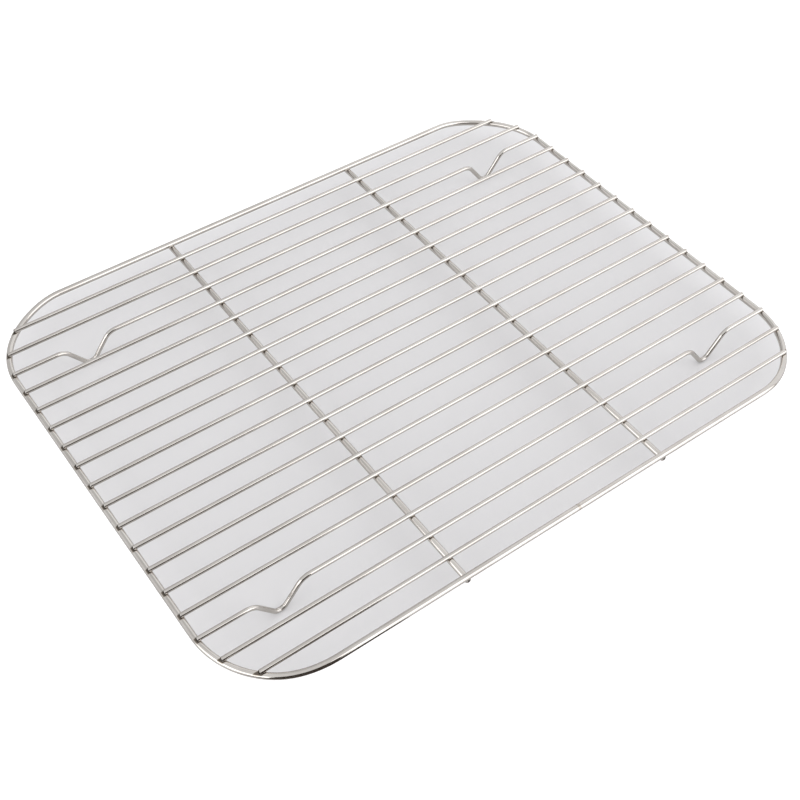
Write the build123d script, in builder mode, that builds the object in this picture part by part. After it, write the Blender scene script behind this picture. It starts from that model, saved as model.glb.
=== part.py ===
from build123d import *
from math import cos, radians, sin, sqrt, tan
import os

# A rectangular wire cooling rack, welded from round stainless wire.
# +X runs along the slats, +Y across them towards the back, and +Z is up.
# The origin is on the surface that the rack stands on, under the middle of the rack.
# Everything is in millimetres.

# ---------------------------------------------------------------- driving dimensions
# Overall sizes
overall_length = 380.0      # over the outside of the frame ring, along X
overall_width = 298.0       # over the outside of the frame ring, along Y
slat_top_height = 18.0      # from the underside of the feet to the top of the slats

# Wire diameters
frame_wire = 3.5
cross_wire = 3.5
slat_wire = 2.6

# Frame ring: its short sides run under the slats' ends, its long sides over the rods' ends.
# It comes down from one height to the other in the first part of each corner.
corner_radius = 49.5        # of the wire's centre line, at the four corners
descent_angle = 40.0        # how far round the corner it has come down

# Slats
slat_count = 18
edge_gap = 14.25            # centre of the ring's long side to the centre of the first slat
slat_overrun = 0.4          # how far a slat's end goes past the ring's centre line
foot_slat_position = 3      # which slat, counted from each long side, is bent into feet

# Feet: each is a V bent into the slat, with a round bottom and round shoulders
foot_inset = 44.3           # centre of the ring's short side to the middle of the foot
foot_leg_angle = 53.0       # of the legs, below the horizontal
foot_bottom_radius = 4.5    # of the wire's centre line, where the foot stands
foot_shoulder_radius = 9.0  # of the wire's centre line, where the foot leaves the slat

# Cross rods: straight, under the slats and under the ring's long sides
cross_rod_spacing = 130.0   # between the two rods' centres
rod_end_inset = 0.3         # rod's cut end, inside the ring's outer edge

# Resistance welds: how far one wire is pressed into the other
slat_set_down = 0.5         # slat into the rods and into the ring's short sides
ring_set_down = 1.0         # ring's long sides into the rods' ends

# ---------------------------------------------------------------- derived places
slat_z = slat_top_height - slat_wire / 2
rod_z = slat_z - (slat_wire + cross_wire) / 2 + slat_set_down
ring_low_z = slat_z - (slat_wire + frame_wire) / 2 + slat_set_down
ring_high_z = rod_z + (cross_wire + frame_wire) / 2 - ring_set_down

ring_half_length = (overall_length - frame_wire) / 2
ring_half_width = (overall_width - frame_wire) / 2
corner_x = ring_half_length - corner_radius
corner_y = ring_half_width - corner_radius
slat_pitch = 2 * (ring_half_width - edge_gap) / (slat_count - 1)


def slat_row(position):
    """Y of a slat, counted from the back, where the first is 1."""
    return ring_half_width - edge_gap - (position - 1) * slat_pitch


def slat_half_length(y):
    """X of the slat's end: past the ring's centre line, on its short side or its corner arc."""
    into_corner = abs(y) - corner_y
    if into_corner <= 0:
        return ring_half_length + slat_overrun
    return corner_x + sqrt(corner_radius**2 - into_corner**2) + slat_overrun


# ---------------------------------------------------------------- straight slats
foot_slat_rows = {
    "foot_slat_back": slat_row(foot_slat_position),
    "foot_slat_front": slat_row(slat_count + 1 - foot_slat_position),
}
all_rows = [slat_row(position) for position in range(1, slat_count + 1)]
straight_rows = [y for y in all_rows if y not in foot_slat_rows.values()]

slats = []
for number, y in enumerate(straight_rows, start=1):
    half_length = slat_half_length(y)
    with BuildPart() as slat:
        with BuildSketch(Plane(origin=(-half_length, y, slat_z), z_dir=(1, 0, 0))):
            Circle(slat_wire / 2)
        extrude(amount=2 * half_length)
    slat.part.label = f"slat_{number:02d}"
    slats.append(slat.part)

# ---------------------------------------------------------------- slats with feet
# The legs meet at a sharp point below the foot; its round bottom rests on the surface.
foot_depth = slat_z - slat_wire / 2
foot_point_depth = foot_depth + foot_bottom_radius * (1 / cos(radians(foot_leg_angle)) - 1)
foot_half_mouth = foot_point_depth / tan(radians(foot_leg_angle))
foot_x = ring_half_length - foot_inset

foot_radii = [foot_shoulder_radius, foot_bottom_radius, foot_shoulder_radius]
for name, y in foot_slat_rows.items():
    half_length = slat_half_length(y)
    with BuildPart() as foot_slat:
        with BuildLine(Plane(origin=(0, y, slat_z), x_dir=(1, 0, 0), z_dir=(0, -1, 0))) as slat_line:
            FilletPolyline(
                (-half_length, 0),
                (-foot_x - foot_half_mouth, 0),
                (-foot_x, -foot_point_depth),
                (-foot_x + foot_half_mouth, 0),
                (foot_x - foot_half_mouth, 0),
                (foot_x, -foot_point_depth),
                (foot_x + foot_half_mouth, 0),
                (half_length, 0),
                radius=foot_radii * 2,
            )
        with BuildSketch(Plane(origin=(-half_length, y, slat_z), z_dir=(1, 0, 0))):
            Circle(slat_wire / 2)
        sweep(path=slat_line.wire())
    foot_slat.part.label = name
    slats.append(foot_slat.part)

# ---------------------------------------------------------------- frame ring
# One wire, bent round and butt-welded to itself. The slats' ends are pressed into its top.
def corner_place(turned, z):
    """A place on the corner's arc, at that many degrees round from the long side."""
    turned = radians(turned)
    return (corner_x + corner_radius * sin(turned), corner_y + corner_radius * cos(turned), z)


def descent_place(share):
    """A place on the way down, level at its start and at its end."""
    fallen = share**2 * (3 - 2 * share)
    return corner_place(descent_angle * share, ring_high_z + (ring_low_z - ring_high_z) * fallen)


descent_start = (1, 0, 0)
descent_end = (cos(radians(descent_angle)), -sin(radians(descent_angle)), 0)

# A quarter of the ring, from the middle of a long side to the middle of a short side.
with BuildLine() as quarter_ring:
    Line((0, ring_half_width, ring_high_z), descent_place(0))
    Spline(
        [descent_place(share / 4) for share in range(5)],
        tangents=[descent_start, descent_end],
    )
    ThreePointArc(
        descent_place(1),
        corner_place((descent_angle + 90) / 2, ring_low_z),
        corner_place(90, ring_low_z),
    )
    Line((ring_half_length, corner_y, ring_low_z), (ring_half_length, 0, ring_low_z))

right_half = quarter_ring.edges() + [edge.mirror(Plane.XZ) for edge in quarter_ring.edges()]
ring_wire = Wire(right_half + [edge.mirror(Plane.YZ) for edge in right_half])

with BuildPart() as frame_ring:
    with BuildSketch(Plane(origin=ring_wire @ 0, z_dir=ring_wire % 0)):
        Circle(frame_wire / 2)
    sweep(path=ring_wire)
    for slat_part in slats:
        add(slat_part, mode=Mode.SUBTRACT)
frame_ring.part.label = "frame_ring"

# ---------------------------------------------------------------- cross rods
rod_half_length = overall_width / 2 - rod_end_inset

cross_rods = []
for name, x in (("cross_rod_left", -cross_rod_spacing / 2), ("cross_rod_right", cross_rod_spacing / 2)):
    with BuildPart() as cross_rod:
        with BuildSketch(Plane(origin=(x, -rod_half_length, rod_z), z_dir=(0, 1, 0))):
            Circle(cross_wire / 2)
        extrude(amount=2 * rod_half_length)
        add(frame_ring.part, mode=Mode.SUBTRACT)
        for slat_part in slats:
            add(slat_part, mode=Mode.SUBTRACT)
    cross_rod.part.label = name
    cross_rods.append(cross_rod.part)

# ---------------------------------------------------------------- files
os.makedirs("parts", exist_ok=True)
for piece in [frame_ring.part, *cross_rods, *slats]:
    export_step(piece, f"parts/{piece.label}.step")
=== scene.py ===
from math import cos, pi, radians, sin, tan

import bmesh
import bpy
from mathutils import Matrix, Vector


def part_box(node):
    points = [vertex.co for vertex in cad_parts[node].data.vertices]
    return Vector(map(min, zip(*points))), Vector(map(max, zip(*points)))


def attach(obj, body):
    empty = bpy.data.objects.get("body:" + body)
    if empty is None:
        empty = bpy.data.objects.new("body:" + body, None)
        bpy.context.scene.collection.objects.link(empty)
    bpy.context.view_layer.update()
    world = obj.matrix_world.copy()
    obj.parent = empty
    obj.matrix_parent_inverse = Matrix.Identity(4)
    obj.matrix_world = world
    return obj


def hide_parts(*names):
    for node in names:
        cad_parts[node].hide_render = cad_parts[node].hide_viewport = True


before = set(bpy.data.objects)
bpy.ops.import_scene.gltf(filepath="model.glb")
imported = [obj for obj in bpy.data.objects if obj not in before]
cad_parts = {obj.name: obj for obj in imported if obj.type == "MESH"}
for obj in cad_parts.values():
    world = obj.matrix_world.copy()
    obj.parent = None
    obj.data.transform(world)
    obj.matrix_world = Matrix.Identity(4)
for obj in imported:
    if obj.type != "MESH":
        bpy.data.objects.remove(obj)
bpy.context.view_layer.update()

# A welded wire cooling rack. Its wires are bent again here, smoother than in the CAD model, and
# get the small beads of their welds and a polished steel finish.
# +X runs along the slats, +Y across them to the back, +Z up. Everything is in metres.

# ------------------------------------------------------------ sizes read from the frame
ring_bottom, ring_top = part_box("frame_ring")
rod_bottom, rod_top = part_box("cross_rod_right")
slat_bottom, slat_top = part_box("slat_01")

slat_wire = slat_top.z - slat_bottom.z
slat_z = slat_bottom.z + slat_wire / 2
first_row_y = slat_bottom.y + slat_wire / 2
slat_pitch = slat_top.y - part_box("slat_02")[1].y

rod_wire = rod_top.x - rod_bottom.x
rod_z = rod_bottom.z + rod_wire / 2
rod_x = rod_bottom.x + rod_wire / 2

frame_wire = 0.0035           # the ring's box holds both of its heights, so this is written out
ring_half_length = ring_top.x - frame_wire / 2
ring_half_width = ring_top.y - frame_wire / 2
ring_high_z = ring_top.z - frame_wire / 2
ring_low_z = ring_bottom.z + frame_wire / 2

# ------------------------------------------------------------ sizes of the bends
corner_radius = 0.0495        # of the ring wire's centre line
descent_angle = radians(40)   # how far round a corner the ring comes down from its long side
descent_steps = 12
corner_steps = 14             # round the level rest of a corner

foot_inset = 0.0443           # from the ring's short side to the middle of a foot
foot_leg_angle = radians(53)  # below the level
foot_bottom_radius = 0.0045   # of the slat wire's centre line, where the foot stands
foot_shoulder_radius = 0.009  # of the slat wire's centre line, where the foot leaves the slat
foot_bottom_steps = 20
foot_shoulder_steps = 12

wire_sides = 40               # facets round a wire
end_rounding = 0.55           # of a wire's cut end, as a share of its radius
end_rounding_steps = 5
smooth_below = radians(50)    # edges that turn less than this are shaded smooth
merge_distance = 0.00001      # between the ring's last loop and its first

# ------------------------------------------------------------ sizes of the welds
slat_count = 18
weld_depth = 0.0005           # how far a slat is pressed into the wire under it
ring_weld_depth = 0.001       # how far the ring is pressed into a rod's end

butt_weld_x = 0.006           # of the weld that closes the ring, on its front side
butt_weld_width = 0.0014
butt_weld_rise = 0.06         # how much thicker the wire is there, as a share

scorched_tip = 0.0003         # length of a slat's burnt left tip

bead_sides = 14
bead_rings = 7
end_bead_inset = 0.0010       # from the ring's centre line to the middle of a bead at a slat's end


# ------------------------------------------------------------ how a wire is bent
class BentWire:
    """A wire that starts as a circle and is drawn out and bent, one run after another.

    It stays in edit mode, with its newest loop selected, until its ends are joined or cut."""

    def __init__(self, name, thickness, place, heading):
        self.radius = thickness / 2
        self.start = Vector(place)
        self.place = Vector(place)
        self.heading = Vector(heading).normalized()
        bpy.ops.object.select_all(action="DESELECT")
        bpy.ops.mesh.primitive_circle_add(
            vertices=wire_sides,
            radius=self.radius,
            location=self.place,
            rotation=self.heading.to_track_quat("Z", "Y").to_euler(),
        )
        self.thing = bpy.context.object
        self.thing.name = name
        self.thing.data.name = name
        bpy.ops.object.mode_set(mode="EDIT")
        bpy.ops.mesh.select_all(action="SELECT")

    def straight(self, length):
        """Draws the wire out along its heading."""
        step = self.heading * length
        bpy.ops.mesh.extrude_region_move(TRANSFORM_OT_translate={"value": step})
        self.place += step

    def bend(self, angle, radius, towards, steps):
        """Bends the wire towards that side, by the angle and on that radius."""
        towards = Vector(towards)
        towards = (towards - self.heading * towards.dot(self.heading)).normalized()
        centre = self.place + towards * radius
        axis = self.heading.cross(towards)
        bpy.ops.mesh.spin(steps=steps, angle=-angle, center=centre, axis=axis)
        turn = Matrix.Rotation(angle, 3, axis)
        self.place = centre + turn @ (self.place - centre)
        self.heading = turn @ self.heading

    def bend_and_shift(self, angle, radius, towards, steps, rise):
        """Bends the wire level while it rises by that much, gently at its start and its end."""
        risen = 0.0
        for step in range(1, steps + 1):
            share = step / steps
            wanted = rise * share**2 * (3 - 2 * share)   # level at both ends
            self.bend(angle / steps, radius, towards, 1)
            bpy.ops.transform.translate(value=(0, 0, wanted - risen))
            self.place.z += wanted - risen
            risen = wanted

    def swell(self, share, still):
        """Makes the newest loop larger by that share, away from the sides that stay still."""
        grown = 1 + share
        corner = self.place + Vector(still) * frame_wire / 2
        bpy.ops.transform.resize(value=(grown, grown, grown), center_override=corner)

    def join_ends(self):
        """Joins the last loop to the first."""
        bpy.ops.mesh.select_all(action="SELECT")
        bpy.ops.mesh.remove_doubles(threshold=merge_distance)
        return self.finished()

    def cut_ends(self):
        """Closes both ends square and rounds their rims."""
        for end in (self.start, self.place):
            select_rim(self.thing, end)
            bpy.ops.mesh.edge_face_add()
            bpy.ops.mesh.bevel(
                offset=end_rounding * self.radius,
                segments=end_rounding_steps,
                affect="EDGES",
            )
        return self.finished()

    def finished(self):
        """Points the faces outwards, leaves edit mode and rests the object at the origin."""
        bpy.ops.mesh.select_all(action="SELECT")
        bpy.ops.mesh.normals_make_consistent(inside=False)
        bpy.ops.object.mode_set(mode="OBJECT")
        bpy.ops.object.transform_apply(location=True, rotation=True, scale=True)
        bpy.ops.object.shade_smooth_by_angle(angle=smooth_below)
        return self.thing


def select_rim(thing, end):
    """Selects the open rim of a wire's end."""
    bpy.ops.mesh.select_mode(type="EDGE")
    bpy.ops.mesh.select_all(action="DESELECT")
    mesh = bmesh.from_edit_mesh(thing.data)
    for edge in mesh.edges:
        middle = thing.matrix_world @ ((edge.verts[0].co + edge.verts[1].co) / 2)
        if edge.is_boundary and (middle - end).length < frame_wire:
            edge.select_set(True)
    bmesh.update_edit_mesh(thing.data)


def tangent(radius, angle):
    """How far from a corner's sharp point its bend starts."""
    return radius * tan(angle / 2)


# ------------------------------------------------------------ the finishes
class Finish:
    """A material, with short ways to lay its nodes."""

    def __init__(self, name):
        self.material = bpy.data.materials.new(name)
        self.material.use_nodes = True
        self.tree = self.material.node_tree
        self.shader = self.tree.nodes["Principled BSDF"]
        self.place = self.node("ShaderNodeTexCoord").outputs["Object"]
        parts = self.node("ShaderNodeSeparateXYZ", {"Vector": self.place})
        self.x, self.y, self.z = parts.outputs

    def node(self, kind, inputs=None, **settings):
        """Adds a node; each input is a value or another node's output."""
        made = self.tree.nodes.new(kind)
        for setting, value in settings.items():
            setattr(made, setting, value)
        for socket, value in (inputs or {}).items():
            self.feed(made.inputs[socket], value)
        return made

    def feed(self, socket, value):
        """Links another node's output to the socket, or sets its value."""
        if isinstance(value, bpy.types.NodeSocket):
            self.tree.links.new(value, socket)
        else:
            socket.default_value = value

    def sum(self, operation, first, second=0.0):
        """One step of arithmetic."""
        made = self.node("ShaderNodeMath", {0: first, 1: second}, operation=operation)
        return made.outputs[0]

    def fade(self, value, start, end, low=0.0, high=1.0):
        """A smooth change from low to high as the value goes from start to end."""
        made = self.node(
            "ShaderNodeMapRange",
            {"Value": value, "From Min": start, "From Max": end, "To Min": low, "To Max": high},
            interpolation_type="SMOOTHSTEP",
        )
        return made.outputs["Result"]

    def mottle(self, spacing, detail=2.0):
        """Noise with blotches of that size along X, Y and Z."""
        stretched = self.node(
            "ShaderNodeMapping",
            {"Vector": self.place, "Scale": [1 / size for size in spacing]},
        )
        made = self.node(
            "ShaderNodeTexNoise",
            {
                "Vector": stretched.outputs[0],
                "Scale": 1.0,
                "Detail": detail,
                "Roughness": noise_roughness,
            },
        )
        return made.outputs["Fac"]

    def tint(self, amount, plain, tinted):
        """A colour between plain and tinted; either may be another node's output."""
        # The node's colour inputs are its sockets 6 and 7, and its colour output is socket 2.
        made = self.node("ShaderNodeMix", {"Factor": amount}, data_type="RGBA")
        self.feed(made.inputs[6], plain)
        self.feed(made.inputs[7], tinted)
        return made.outputs[2]

    def ripple(self, height, depth, below=None):
        """A bump of that depth; below is a bump that it lies on."""
        inputs = {"Height": height, "Strength": 1.0, "Distance": depth}
        if below is not None:
            inputs["Normal"] = below
        return self.node("ShaderNodeBump", inputs).outputs["Normal"]


bright_steel = (0.665, 0.637, 0.607, 1.0)
dull_steel = (0.59, 0.56, 0.53, 1.0)
# straw and scorched tints: partly heat tint, partly painted contact shade where the wires touch
straw_tint_and_shade = (0.42, 0.37, 0.32, 1.0)
scorched_tint_and_shade = (0.14, 0.12, 0.10, 1.0)
sheared_tint = (0.02, 0.016, 0.013, 1.0)
sheared_brown = (0.05, 0.04, 0.03, 1.0)

noise_roughness = 0.55
blotch_noise = (0.35, 0.7)              # between these the noise goes from bright to dull steel
streak_noise = (0.3, 0.7)               # between these it goes from the least to the most rough
drawn_roughness = (0.07, 0.13)
drawn_line_depth = 0.000003
wave_depth = 0.00003                    # of the faint unevenness of a drawn wire

# Sizes of the drawn lines and the blotches, along and across a straight wire. The ring runs both
# ways, so its own are the same along X and Y.
line_length, line_width = 0.02, 0.0007
blotch_length, blotch_width = 0.03, 0.01
ring_lines = (0.006, 0.006, 0.0008)
ring_blotches = (0.02, 0.02, 0.01)

straw_heat_and_shade = (0.0, 0.6)                 # how much heat tint and painted contact shade turn the steel straw
scorch_heat_and_shade = (0.45, 1.0)               # and then brown

# Heat tint with painted contact shade on the sides where the wires touch: where it starts and
# where it is full.
slat_heat_and_shade_by_rod = (0.0026, 0.0010)     # from the rod's centre line
slat_heat_and_shade_by_ring = (0.003, 0.001)      # from the ring's centre line, inwards
slat_heat_and_shade_depth = (0.0006, 0.0012)      # below the slat's centre line
rod_heat_and_shade_by_slat = (0.0022, 0.0012)     # from the slat's centre line
rod_heat_and_shade_height = (0.0006, 0.0014)      # above the rod's centre line
ring_heat_and_shade_by_slat = (0.0019, 0.0012)    # from the slat's centre line
ring_heat_and_shade_height = (0.0010, 0.0016)     # above the ring's low centre line
ring_heat_and_shade_inset = 0.02                  # from the ring's short side; none on its long sides
butt_heat = (0.0014, 0.0003)            # from the middle of the butt weld
butt_heat_strength = 0.35
front_side_band = 0.004                 # in which the ring's front side lies


def drawn_steel(finish, lines, blotches, heat_and_shade):
    """Polished stainless wire: drawn lines along it, faint blotches, heat tint and painted contact
    shade at the welds.
    """
    patchy = finish.fade(finish.mottle(blotches), *blotch_noise)
    clean = finish.tint(patchy, bright_steel, dull_steel)
    straw_and_shade = finish.tint(finish.fade(heat_and_shade, *straw_heat_and_shade), clean, straw_tint_and_shade)
    burnt_and_shade = finish.tint(finish.fade(heat_and_shade, *scorch_heat_and_shade), straw_and_shade, scorched_tint_and_shade)
    finish.feed(finish.shader.inputs["Base Color"], burnt_and_shade)
    streaks = finish.mottle(lines, detail=3.0)
    roughness = finish.fade(streaks, *streak_noise, *drawn_roughness)
    finish.feed(finish.shader.inputs["Roughness"], roughness)
    waves = finish.ripple(finish.mottle(blotches), wave_depth)
    finish.feed(finish.shader.inputs["Normal"], finish.ripple(streaks, drawn_line_depth, waves))
    finish.shader.inputs["Metallic"].default_value = 1.0
    return finish.material


def away_from(finish, value, middle):
    """How far the value is from the middle, either way."""
    return finish.sum("ABSOLUTE", finish.sum("SUBTRACT", value, middle))


def away_from_row(finish):
    """How far the place is along Y from the nearest slat's centre."""
    from_first = finish.sum("SUBTRACT", finish.y, first_row_y)
    return finish.sum("PINGPONG", from_first, slat_pitch / 2)


def slat_steel():
    """Slats: heat tint and painted contact shade on the underside, at the rods and at the ring."""
    finish = Finish("polished slat wire")
    half_way = finish.sum("ABSOLUTE", finish.x)
    at_rod = finish.fade(away_from(finish, half_way, rod_x), *slat_heat_and_shade_by_rod)
    at_ring = finish.fade(half_way, *(ring_half_length - inner for inner in slat_heat_and_shade_by_ring))
    low = finish.fade(finish.z, *(slat_z - depth for depth in slat_heat_and_shade_depth))
    heat_and_shade = finish.sum("MULTIPLY", finish.sum("MAXIMUM", at_rod, at_ring), low)
    lines = (line_length, line_width, line_width)
    blotches = (blotch_length, blotch_width, blotch_width)
    return drawn_steel(finish, lines, blotches, heat_and_shade)


def rod_steel():
    """Cross rods: heat tint and painted contact shade on top, under each slat."""
    finish = Finish("polished cross rod wire")
    at_slat = finish.fade(away_from_row(finish), *rod_heat_and_shade_by_slat)
    high = finish.fade(finish.z, *(rod_z + height for height in rod_heat_and_shade_height))
    heat_and_shade = finish.sum("MULTIPLY", at_slat, high)
    lines = (line_width, line_length, line_width)
    blotches = (blotch_width, blotch_length, blotch_width)
    return drawn_steel(finish, lines, blotches, heat_and_shade)


def ring_steel():
    """Frame ring: heat tint and painted contact shade under each slat's end and, fainter, heat
    tint at the butt weld.
    """
    finish = Finish("polished frame wire")
    half_way = finish.sum("ABSOLUTE", finish.x)
    at_slat = finish.fade(away_from_row(finish), *ring_heat_and_shade_by_slat)
    high = finish.fade(finish.z, *(ring_low_z + height for height in ring_heat_and_shade_height))
    in_short_side = finish.fade(half_way, ring_half_length - corner_radius,
                                ring_half_length - ring_heat_and_shade_inset)
    heat_and_shade_by_slats = finish.sum("MULTIPLY", finish.sum("MULTIPLY", at_slat, high), in_short_side)
    at_butt_weld = finish.fade(away_from(finish, finish.x, butt_weld_x), *butt_heat)
    in_front = finish.fade(finish.y, front_side_band - ring_half_width, -ring_half_width)
    heat_by_butt = finish.sum("MULTIPLY", at_butt_weld, in_front)
    faint = finish.sum("MULTIPLY", heat_by_butt, butt_heat_strength)
    heat_and_shade = finish.sum("MAXIMUM", heat_and_shade_by_slats, faint)
    return drawn_steel(finish, ring_lines, ring_blotches, heat_and_shade)


def rough_steel(name, tones, patch_size, patch_noise, roughness, grain_size, grain_depth):
    """Patchy steel with a fine grain, for what was never polished."""
    finish = Finish(name)
    patchy = finish.fade(finish.mottle((patch_size,) * 3), *patch_noise)
    finish.feed(finish.shader.inputs["Base Color"], finish.tint(patchy, *tones))
    finish.feed(finish.shader.inputs["Roughness"], finish.fade(patchy, 0.0, 1.0, *roughness))
    grain = finish.mottle((grain_size,) * 3)
    finish.feed(finish.shader.inputs["Normal"], finish.ripple(grain, grain_depth))
    finish.shader.inputs["Metallic"].default_value = 1.0
    return finish.material


def weld_steel():
    """The squeezed-out metal of a resistance weld: brown and dull, its brown partly heat tint and
    partly painted contact shade.
    """
    return rough_steel(
        "scorched and shaded weld metal",
        tones=(scorched_tint_and_shade, straw_tint_and_shade),
        patch_size=0.0006,
        patch_noise=(0.35, 0.7),
        roughness=(0.3, 0.45),
        grain_size=0.0003,
        grain_depth=0.00003,
    )


def cut_steel():
    """The sheared end of a wire: nearly black and rough."""
    return rough_steel(
        "sheared wire end",
        tones=(sheared_tint, sheared_brown),
        patch_size=0.0008,
        patch_noise=(0.3, 0.7),
        roughness=(0.35, 0.55),
        grain_size=0.0004,
        grain_depth=0.00004,
    )


finishes = {
    "slat_steel": slat_steel(),
    "rod_steel": rod_steel(),
    "frame_steel": ring_steel(),
    "weld": weld_steel(),
    "cut": cut_steel(),
}


def dress(piece, slot, *nodes):
    """Gives a finished wire its steel, its cut ends theirs, and its place in the frame.

    A cut end is the only face with more than four sides."""
    piece.data.materials.append(finishes[slot])
    piece.data.materials.append(finishes["cut"])
    left_end = min(corner.co.x for corner in piece.data.vertices)
    for face in piece.data.polygons:
        at_left_tip = slot == "slat_steel" and face.center.x < left_end + scorched_tip
        if len(face.vertices) > 4 or at_left_tip:
            face.material_index = 1
    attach(piece, "root")
    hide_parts(*nodes)


# ------------------------------------------------------------ straight slats and cross rods
def straight_wire(node, heading):
    """A straight wire with cut ends, as long and as thick as the CAD node."""
    low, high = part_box(node)
    along = Vector(heading)
    middle = (low + high) / 2
    length = (high - low).dot(along)
    wire = BentWire(node + "_wire", high.z - low.z, middle - along * length / 2, along)
    wire.straight(length)
    return wire.cut_ends()


straight_slats = [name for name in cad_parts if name.startswith("slat_")]
for name in straight_slats:
    dress(straight_wire(name, (1, 0, 0)), "slat_steel", name)

for name in ("cross_rod_left", "cross_rod_right"):
    dress(straight_wire(name, (0, 1, 0)), "rod_steel", name)


# ------------------------------------------------------------ slats with feet
def bend_foot(wire, run_up):
    """Draws the wire to a foot and bends the foot: down, round its bottom and up again.

    Gives how far past the foot's middle the wire is then."""
    depth = slat_z - slat_wire / 2 + foot_bottom_radius * (1 / cos(foot_leg_angle) - 1)
    half_mouth = depth / tan(foot_leg_angle)
    shoulder = tangent(foot_shoulder_radius, foot_leg_angle)
    leg = depth / sin(foot_leg_angle) - shoulder - tangent(foot_bottom_radius, 2 * foot_leg_angle)
    wire.straight(run_up - half_mouth - shoulder)
    wire.bend(foot_leg_angle, foot_shoulder_radius, (0, 0, -1), foot_shoulder_steps)
    wire.straight(leg)
    wire.bend(2 * foot_leg_angle, foot_bottom_radius, (0, 0, 1), foot_bottom_steps)
    wire.straight(leg)
    wire.bend(foot_leg_angle, foot_shoulder_radius, (0, 0, -1), foot_shoulder_steps)
    return half_mouth + shoulder


for name in ("foot_slat_back", "foot_slat_front"):
    low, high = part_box(name)
    row_y = (low.y + high.y) / 2
    foot_x = ring_half_length - foot_inset
    wire = BentWire(name + "_wire", slat_wire, (low.x, row_y, slat_z), (1, 0, 0))
    past_foot = bend_foot(wire, -foot_x - low.x)
    bend_foot(wire, 2 * foot_x - past_foot)
    wire.straight(high.x - foot_x - past_foot)
    dress(wire.cut_ends(), "slat_steel", name)


# ------------------------------------------------------------ frame ring
def bend_ring():
    """Bends the ring once round, starting and ending at the middle of its back side."""
    corner_x = ring_half_length - corner_radius
    corner_y = ring_half_width - corner_radius
    descent = ring_high_z - ring_low_z
    rest_angle = pi / 2 - descent_angle
    wire = BentWire("frame_ring_wire", frame_wire, (0, ring_half_width, ring_high_z), (1, 0, 0))
    for side in (1, -1):
        wire.straight(corner_x)
        wire.bend_and_shift(descent_angle, corner_radius, (0, -side, 0), descent_steps, -descent)
        wire.bend(rest_angle, corner_radius, (0, -side, 0), corner_steps)
        wire.straight(2 * corner_y)
        wire.bend(rest_angle, corner_radius, (-side, 0, 0), corner_steps)
        wire.bend_and_shift(descent_angle, corner_radius, (-side, 0, 0), descent_steps, descent)
        if side > 0:
            wire.straight(corner_x - butt_weld_x - butt_weld_width / 2)
            wire.straight(butt_weld_width / 2)
            wire.swell(butt_weld_rise, (0, -1, 1))
            wire.straight(butt_weld_width / 2)
            wire.swell(1 / (1 + butt_weld_rise) - 1, (0, -1, 1))
            wire.straight(butt_weld_x - butt_weld_width / 2)
        else:
            wire.straight(corner_x)
    return wire.join_ends()


dress(bend_ring(), "frame_steel", "frame_ring")


# ------------------------------------------------------------ weld beads
def squeezed_bead(upper_reach, lower_reach, half_height):
    """The metal squeezed out of one crossing: its top half follows the upper wire, and its
    bottom half the lower one. A reach is how far it goes along X and along Y."""
    bpy.ops.object.select_all(action="DESELECT")
    bpy.ops.mesh.primitive_uv_sphere_add(
        segments=bead_sides,
        ring_count=bead_rings,
        radius=half_height,
    )
    bead = bpy.context.object
    bpy.ops.object.mode_set(mode="EDIT")
    bpy.ops.mesh.select_mode(type="VERT")
    for above, reach in ((True, upper_reach), (False, lower_reach)):
        bpy.ops.mesh.select_all(action="DESELECT")
        mesh = bmesh.from_edit_mesh(bead.data)
        for corner in mesh.verts:
            if (corner.co.z > 0) == above:
                corner.select_set(True)
        bmesh.update_edit_mesh(bead.data)
        stretch = (reach[0] / half_height, reach[1] / half_height, 1)
        bpy.ops.transform.resize(value=stretch, center_override=(0, 0, 0))
    bpy.ops.object.mode_set(mode="OBJECT")
    bpy.ops.object.shade_smooth()
    return bead


def lay_beads(name, bead, places):
    """Copies the bead to each crossing and joins the copies into one piece."""
    copies = []
    for place in places:
        copy = bead.copy()
        copy.data = bead.data.copy()
        copy.location = place
        bpy.context.scene.collection.objects.link(copy)
        copies.append(copy)
    bpy.ops.object.select_all(action="DESELECT")
    for copy in copies:
        copy.select_set(True)
    bpy.context.view_layer.objects.active = copies[0]
    bpy.ops.object.join()
    bpy.ops.object.transform_apply(location=True, rotation=True, scale=True)
    piece = bpy.context.object
    piece.name = name
    piece.data.name = name
    piece.data.materials.append(finishes["weld"])
    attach(piece, "root")


def ring_x(y):
    """X of the ring's centre line, on its +X side, at that Y."""
    into_corner = abs(y) - (ring_half_width - corner_radius)
    if into_corner <= 0:
        return ring_half_length
    return ring_half_length - corner_radius + (corner_radius**2 - into_corner**2) ** 0.5


rows = [first_row_y - place * slat_pitch for place in range(slat_count)]
slat_weld_z = slat_bottom.z + weld_depth / 2
ring_weld_z = rod_top.z - ring_weld_depth / 2

slat_bead = squeezed_bead(
    upper_reach=(0.00155, 0.0013),
    lower_reach=(0.00125, 0.0017),
    half_height=0.00045,
)
for side, x in (("left", -rod_x), ("right", rod_x)):
    crossings = [(x, y, slat_weld_z) for y in rows]
    lay_beads(f"{side}_rod_welds", slat_bead, crossings)

end_bead = squeezed_bead(
    upper_reach=(0.0008, 0.0010),
    lower_reach=(0.0008, 0.0012),
    half_height=0.0004,
)
for side, sign in (("left", -1), ("right", 1)):
    crossings = [(sign * (ring_x(y) - end_bead_inset), y, slat_weld_z) for y in rows]
    lay_beads(f"{side}_side_welds", end_bead, crossings)

ring_bead = squeezed_bead(
    upper_reach=(0.0021, 0.0014),
    lower_reach=(0.0015, 0.0016),
    half_height=0.0006,
)
sides = (-ring_half_width, ring_half_width)
rod_ends = [(x, y, ring_weld_z) for x in (-rod_x, rod_x) for y in sides]
lay_beads("rod_end_welds", ring_bead, rod_ends)

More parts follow.
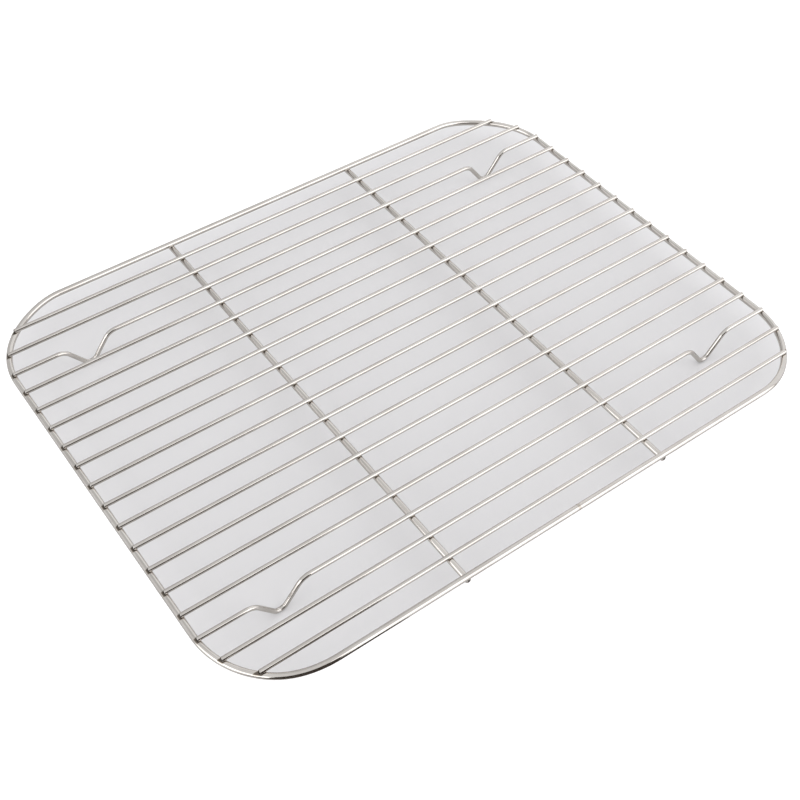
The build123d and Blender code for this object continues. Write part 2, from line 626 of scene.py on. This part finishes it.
for bead in (slat_bead, end_bead, ring_bead):
    bpy.data.objects.remove(bead)

# ------------------------------------------------------------ floor, lights and camera
floor_size = 8.0
paper_blotch = 0.3
painted_shade_blotch = 0.1
paper_tones = ((0.95, 0.95, 0.95, 1), (0.96, 0.96, 0.96, 1))
# painted shade: the paper's darker tones under the rack
painted_shade_tones = ((0.778, 0.772, 0.788, 1), (0.798, 0.792, 0.808, 1))
# painted light: the paper glows, in full outside the painted shade and a fifth as much within it
painted_floor_glow = 0.3
painted_glow_white = (1, 1, 1, 1)
painted_glow_in_shade = (0.2, 0.2, 0.2, 1)

# The painted shade on the paper is the outline of the ring, moved and grown a little: a darker
# tone painted where the rack's soft shadow would fall.
painted_shade_middle = (0.0085, 0.0115)
painted_shade_growth = 1.030
painted_shade_reach = 0.0022          # how softly it ends


def past_straight(finish, value, middle, half_size):
    """How far the value is past the straight part of the painted shade's side; 0 within it."""
    straight = painted_shade_growth * half_size - corner_radius
    past = finish.sum("SUBTRACT", away_from(finish, value, middle), straight)
    return finish.sum("MAXIMUM", past)


def painted_shade_floor():
    """Pale paper with painted shade, a tone darker under the rack where its soft shadow would
    fall, and a painted glow that is weaker in that shade.
    """
    finish = Finish("pale floor with painted shade and glow")
    paper = finish.tint(finish.mottle((paper_blotch,) * 3), *paper_tones)
    shaded = finish.tint(finish.mottle((painted_shade_blotch,) * 3), *painted_shade_tones)
    past_x = past_straight(finish, finish.x, painted_shade_middle[0], ring_half_length)
    past_y = past_straight(finish, finish.y, painted_shade_middle[1], ring_half_width)
    square = finish.sum("ADD", finish.sum("POWER", past_x, 2.0), finish.sum("POWER", past_y, 2.0))
    past_ring = finish.sum("SUBTRACT", finish.sum("SQRT", square), corner_radius)
    in_painted_shade = finish.fade(past_ring, painted_shade_reach, -painted_shade_reach)
    finish.feed(finish.shader.inputs["Base Color"], finish.tint(in_painted_shade, paper, shaded))
    # painted light: the floor glows, less within the painted shade
    finish.feed(finish.shader.inputs["Emission Color"],
                finish.tint(in_painted_shade, painted_glow_white, painted_glow_in_shade))
    finish.shader.inputs["Emission Strength"].default_value = painted_floor_glow
    finish.shader.inputs["Roughness"].default_value = 0.9
    finish.shader.inputs["Specular IOR Level"].default_value = 0.1
    return finish.material


bpy.ops.object.select_all(action="DESELECT")
bpy.ops.mesh.primitive_plane_add(size=floor_size, location=(0, 0, 0))
floor = bpy.context.object
floor.name = "floor"
floor.data.materials.append(painted_shade_floor())

sky_brightness = 0.9
wall_distance = 3.5
flag_distance = 3.3           # in front of the walls
flag_top_corner = -0.36       # across the flag, as a share of its width; its foot is at -0.5
lamp_white = (1.0, 1.0, 1.0, 1.0)
flag_brown = (1.0, 0.68, 0.48, 1.0)
# painted reflection: tone and gloss of a floor sheet seen in the wires only
mirrored_floor_grey = (0.66, 0.65, 0.65, 1.0)
mirrored_floor_roughness = 0.12
mirrored_floor_height = 0.0002         # of the polished sheet seen only in the wires, a painted reflection of the floor, over the paper
dark_reflection_card_place = (-0.345, -0.45, 0.0004)

world = bpy.data.worlds.new("studio")
bpy.context.scene.world = world
world.use_nodes = True
sky = world.node_tree.nodes["Background"]
sky.inputs["Color"].default_value = lamp_white
sky.inputs["Strength"].default_value = sky_brightness


def studio_sheet(name, tone, brightness, **placing):
    """A sheet that lights the rack or is mirrored in it, and isn't seen itself."""
    bpy.ops.object.select_all(action="DESELECT")
    bpy.ops.mesh.primitive_plane_add(size=1, **placing)
    sheet = bpy.context.object
    sheet.name = name
    sheet.visible_camera = False
    shader = Finish(name).shader
    shader.inputs["Base Color"].default_value = (0, 0, 0, 1)
    shader.inputs["Roughness"].default_value = 1.0
    shader.inputs["Emission Color"].default_value = tone
    shader.inputs["Emission Strength"].default_value = brightness
    sheet.data.materials.append(bpy.data.materials[name])
    return sheet


def studio_wall(name, bearings, height, brightness, tone=lamp_white, distance=wall_distance):
    """An upright sheet that faces the rack between two bearings, counted from +X towards +Y."""
    start, end = bearings
    bearing = radians((start + end) / 2)
    half_width = distance * tan(radians(end - start) / 2)
    outwards = Vector((cos(bearing), sin(bearing), 0))
    wall = studio_sheet(
        name,
        tone,
        brightness,
        location=outwards * distance + Vector((0, 0, height / 2)),
        rotation=(pi / 2, 0, bearing - pi / 2),
    )
    wall.scale = (2 * half_width, height, 1)
    return wall


def seen_only_in_wires(sheet):
    """Keeps a sheet from shading or lighting the floor that it lies on."""
    sheet.visible_diffuse = False
    sheet.visible_shadow = False


flag = studio_wall("dark flag", (223, 287), height=2.65, brightness=0.03,
                   tone=flag_brown, distance=flag_distance)
for corner in flag.data.vertices:
    if corner.co.x < 0 < corner.co.y:
        corner.co.x = flag_top_corner

studio_wall("tall soft light", (270, 328), height=4.9, brightness=1.95)
studio_wall("side light", (158, 222), height=3.0, brightness=2.1)
studio_wall("grey card", (62, 135), height=7.0, brightness=0.66)
studio_wall("pale card", (135, 160), height=5.0, brightness=0.85)
studio_wall("far card", (-32, 62), height=5.5, brightness=1.0)

# Two sheets lie on the floor and are seen in the wires only: painted reflections, a dark patch and
# a grey polished floor that the camera doesn't see.
# painted reflection: a dark card, mirrored in the ring's front left corner
dark_reflection_card = studio_sheet("dark reflection card", flag_brown, brightness=0.04, location=dark_reflection_card_place)
dark_reflection_card.scale = (0.5, 0.6, 1)
seen_only_in_wires(dark_reflection_card)

# painted reflection: a grey polished floor for the wires to mirror
mirrored_floor_sheet = studio_sheet("polished mirrored floor sheet", lamp_white, brightness=0.0,
                         location=(0, 0, mirrored_floor_height))
mirrored_floor_sheet.scale = (3, 3, 1)
mirrored_floor_shader = mirrored_floor_sheet.data.materials[0].node_tree.nodes["Principled BSDF"]
mirrored_floor_shader.inputs["Base Color"].default_value = mirrored_floor_grey
mirrored_floor_shader.inputs["Roughness"].default_value = mirrored_floor_roughness
mirrored_floor_shader.inputs["IOR"].default_value = 1.5
seen_only_in_wires(mirrored_floor_sheet)

# The camera looks down on the rack from beyond its front left corner.
camera_data = bpy.data.cameras.new("camera")
camera_data.lens = 54.917
camera_data.sensor_width = 36
camera = bpy.data.objects.new("camera", camera_data)
camera.location = (-0.28493, -0.38896, 0.51482)
camera.rotation_euler = (radians(41.308), radians(-0.479), radians(-35.849))
bpy.context.scene.collection.objects.link(camera)
bpy.context.scene.camera = camera
bpy.context.scene.view_settings.view_transform = "Standard"
